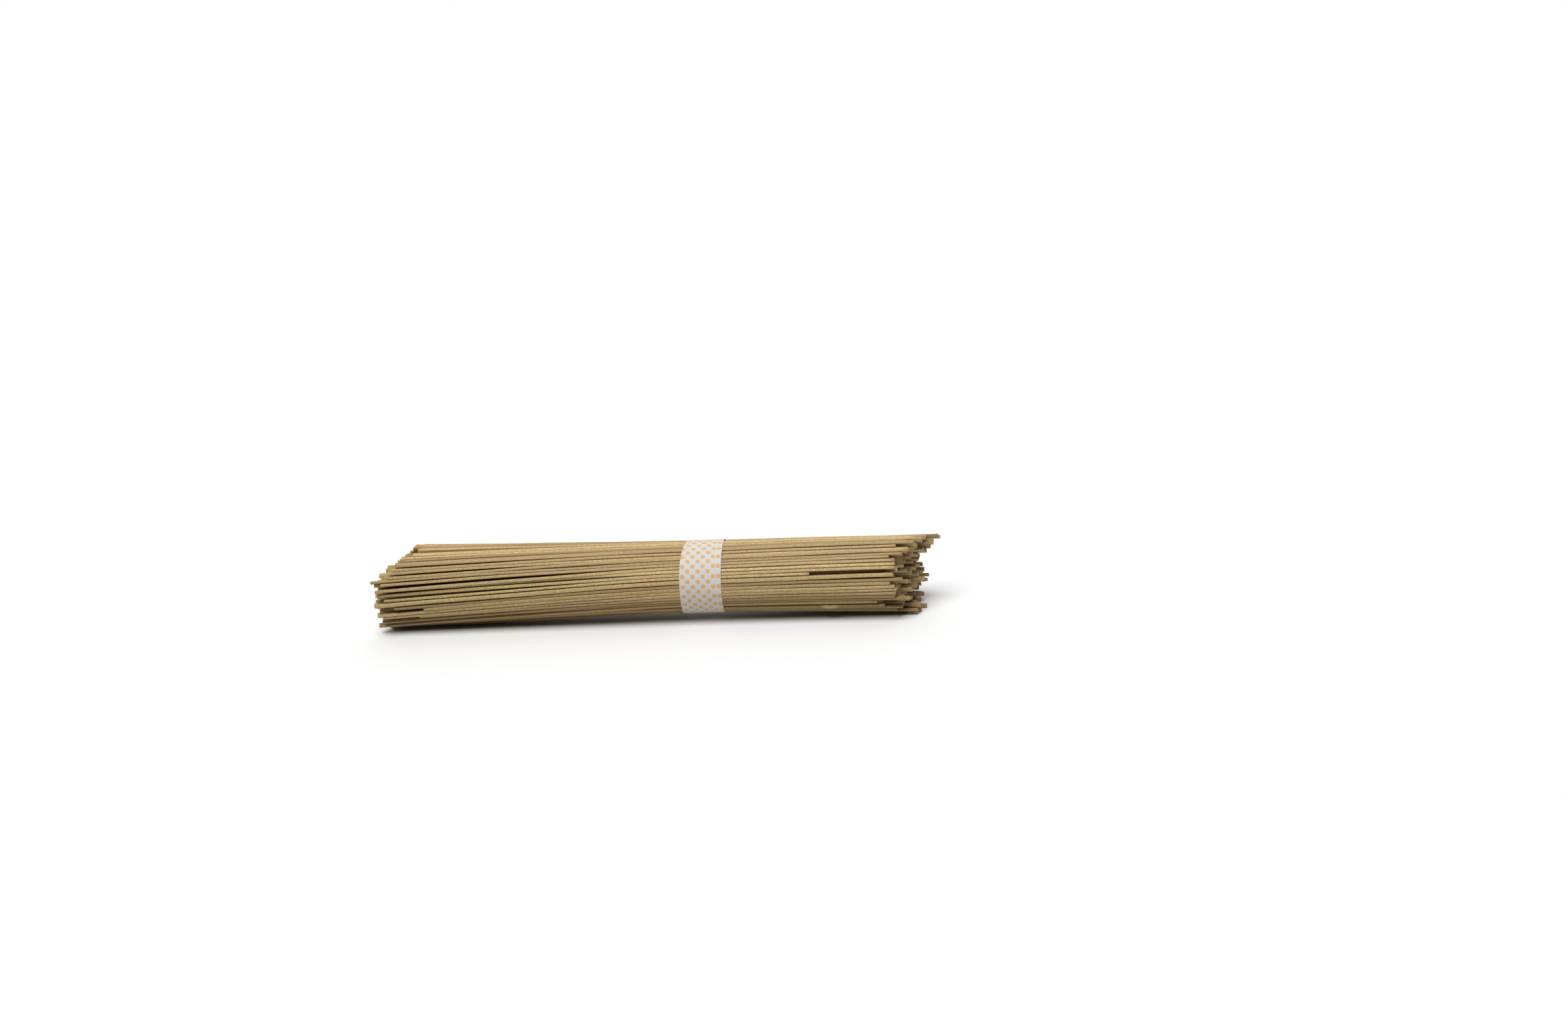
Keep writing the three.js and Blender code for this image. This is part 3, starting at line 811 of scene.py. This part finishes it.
def noodle_material():
    """Dry buckwheat dough: each noodle its own shade, with painted shade on the lowest noodles, clouds, a
    fine husk grain, dark bran and pale starch specks, paler where it is cut or torn, and painted shade in the
    grooves."""
    n = Nodes("dry_buckwheat_dough")
    dough = n.add("ShaderNodeAttribute", attribute_name="noodle").outputs
    shade, warmth, seed = n.add("ShaderNodeSeparateColor", {"Color": dough["Color"]}).outputs
    marks = n.add("ShaderNodeAttribute", attribute_name="painted_shade_and_tear").outputs["Color"]
    painted_shade_and_tear, torn, _ = n.add("ShaderNodeSeparateColor", {"Color": marks}).outputs
    place = n.add("ShaderNodeTexCoord").outputs["Object"]
    own = n.add("ShaderNodeCombineXYZ", {0: n.math("MULTIPLY", seed, 7.0), 1: n.math("MULTIPLY", shade, 5.0)})
    place = n.add("ShaderNodeVectorMath", {0: place, 1: own.outputs[0]}, operation="ADD").outputs[0]
    cloud = n.noise(place, CLOUD_SCALE, 3.0)
    grain = n.noise(place, GRAIN_SCALE, 3.0, 0.65)
    bran = n.noise(place, BRAN_SCALE, 2.0, 0.7)
    starch = n.noise(place, STARCH_SCALE, 2.0, 0.6)
    base = n.mix(n.ramp(shade, 0.0, 1.0), linear(*BROWN_DOUGH), linear(*PALE_DOUGH))
    base = n.tinted(base, warmth, 0.3, WARM_DOUGH)
    base = n.tinted(base, n.ramp(cloud, 0.3, 0.75), 0.25, CLOUDED_DOUGH)
    base = n.tinted(base, n.ramp(grain, 0.36, 0.66), 0.55, HUSK_GRAIN)
    base = n.tinted(base, n.ramp(bran, 0.66, 0.73), 0.7, BRAN_SPECK)
    base = n.tinted(base, n.ramp(starch, 0.66, 0.74), 0.45, STARCH_SPECK)
    base = n.tinted(base, dough["Alpha"], 0.3, CUT_DOUGH)
    base = n.tinted(base, torn, 0.85, TORN_DOUGH)
    # painted shade: the grooves and the recessed noodles go over to a dark brown
    base = n.tinted(base, painted_shade_and_tear, 0.8, PAINTED_GROOVE_SHADE)
    n.into_shader("Base Color", base)
    n.bump(n.math("ADD", n.math("MULTIPLY", grain, 0.7), n.math("MULTIPLY", bran, 0.5)), 0.35, 0.00012)
    rough = n.add("ShaderNodeMapRange", {"Value": grain, "To Min": 0.5, "To Max": 0.72}).outputs[0]
    n.into_shader("Roughness", rough)
    n.shader.inputs["Specular IOR Level"].default_value = 0.4
    return n.material


def printed_share(n):
    """1 on the printed squares and 0 beside them, from the strip's own UV map in millimetres: a grid of
    cells, of which every other one holds a square, with the last column shifted to its neighbour's rows."""
    uv = n.add("ShaderNodeUVMap", uv_map="strip").outputs["UV"]
    along, across, _ = n.add("ShaderNodeSeparateXYZ", {0: uv}).outputs
    column_at = n.math("DIVIDE", n.math("ADD", across, BAND_WIDTH / 2 - FIRST_COLUMN + COLUMN / 2), COLUMN)
    row_at = n.math("DIVIDE", along, ROW)
    shifted = n.math("GREATER_THAN", column_at, float(LAST_COLUMN))
    column = n.math("SUBTRACT", n.math("FLOOR", column_at), shifted)
    odd = n.math("MODULO", n.math("ADD", column, n.math("FLOOR", row_at)), 2.0)
    printed = n.math("SUBTRACT", 1.0, odd)
    for value in (column_at, row_at):
        off_middle = n.math("ABSOLUTE", n.math("SUBTRACT", n.math("FRACT", value), 0.5))
        printed = n.math("MULTIPLY", printed, n.math("SUBTRACT", 1.0, n.ramp(off_middle, 0.37, 0.42)))
    return printed


def paper_material():
    """White paper strip with pale orange squares, and faint fibres in the paper and in the ink."""
    n = Nodes("checked_paper")
    place = n.add("ShaderNodeTexCoord").outputs["Object"]
    fibre = n.noise(place, FIBRE_SCALE, 4.0, 0.6)
    ink = n.mix(fibre, linear(*FULL_INK), linear(*THIN_INK))
    paper = n.tinted(linear(*BRIGHT_PAPER), fibre, 0.5, DULL_PAPER)
    n.into_shader("Base Color", n.mix(printed_share(n), paper, ink))
    n.bump(fibre, 0.15, 0.00005)
    n.shader.inputs["Roughness"].default_value = 0.7
    n.shader.inputs["Specular IOR Level"].default_value = 0.35
    return n.material


def floor_material():
    """A plain, nearly white matt surface."""
    n = Nodes("pale_floor")
    n.shader.inputs["Base Color"].default_value = (FLOOR_GREY, FLOOR_GREY, FLOOR_GREY, 1)
    n.shader.inputs["Roughness"].default_value = 0.9
    n.shader.inputs["Specular IOR Level"].default_value = 0.2
    return n.material


# ---------------------------------------------------------------- stage, light and camera


def make_floor():
    """A wide flat square that the bundle lies on."""
    mesh = bpy.data.meshes.new("floor")
    size = FLOOR_HALF_WIDTH
    corners = [(-size, -size, 0), (size, -size, 0), (size, size, 0), (-size, size, 0)]
    mesh.from_pydata(corners, [], [(0, 1, 2, 3)])
    mesh.materials.append(floor_material())
    floor = bpy.data.objects.new("floor", mesh)
    bpy.context.scene.collection.objects.link(floor)


def make_room():
    """A white room that sheds little light: its strength is ROOM_LIGHT, and ROOM_SEEN where it is seen."""
    world = bpy.data.worlds.new("dim_room")
    world.use_nodes = True
    tree = world.node_tree
    background = tree.nodes["Background"]
    background.inputs["Color"].default_value = (1, 1, 1, 1)
    strength = tree.nodes.new("ShaderNodeMath")
    strength.operation = "MULTIPLY_ADD"
    tree.links.new(tree.nodes.new("ShaderNodeLightPath").outputs["Is Camera Ray"], strength.inputs[0])
    strength.inputs[1].default_value = ROOM_SEEN - ROOM_LIGHT
    strength.inputs[2].default_value = ROOM_LIGHT
    tree.links.new(strength.outputs[0], background.inputs["Strength"])
    bpy.context.scene.world = world


def soft_light(name, energy, angle, direction):
    """A distant light as wide as an angle, shining from a direction."""
    light = bpy.data.lights.new(name, "SUN")
    light.energy = energy
    light.angle = angle
    lamp = bpy.data.objects.new(name, light)
    lamp.rotation_euler = Vector(direction).to_track_quat("Z", "Y").to_euler()
    bpy.context.scene.collection.objects.link(lamp)


def light_scene():
    """A broad light from above, the front and the left, and a wider and weaker one from behind."""
    make_room()
    soft_light("overhead", 4.0, math.radians(44), (-0.12, -0.4, 0.9))
    soft_light("behind", 1.5, math.radians(80), (0.0, 0.7, 0.7))
    bpy.context.scene.view_settings.view_transform = "Standard"


def place_camera():
    """Looks from an azimuth and an elevation, turned by the roll, with the band's middle at its pixel."""
    low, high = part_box("paper_band")
    target = (low + high) / 2
    a, e = CAMERA_AZIMUTH, CAMERA_ELEVATION
    back = Vector((math.sin(a) * math.cos(e), -math.cos(a) * math.cos(e), math.sin(e)))
    right = Vector((0, 0, 1)).cross(back).normalized()
    up = back.cross(right)
    turn = Matrix.Rotation(CAMERA_ROLL, 3, back)
    right, up = turn @ right, turn @ up
    focal = LENS / SENSOR * IMAGE_WIDTH
    aside = (BAND_PIXEL[0] - IMAGE_WIDTH / 2) / focal * CAMERA_DISTANCE
    raised = (IMAGE_HEIGHT / 2 - BAND_PIXEL[1]) / focal * CAMERA_DISTANCE
    eye = target + back * CAMERA_DISTANCE - right * aside - up * raised
    camera = bpy.data.cameras.new("camera")
    camera.lens = LENS
    camera.sensor_width = SENSOR
    viewer = bpy.data.objects.new("camera", camera)
    rotation = Matrix((right, up, back)).transposed()
    viewer.matrix_world = Matrix.Translation(eye) @ rotation.to_4x4()
    bpy.context.scene.collection.objects.link(viewer)
    bpy.context.scene.camera = viewer


place_camera()
bundle = Bundle()
make_noodles(bundle)
make_band()
make_floor()
light_scene()
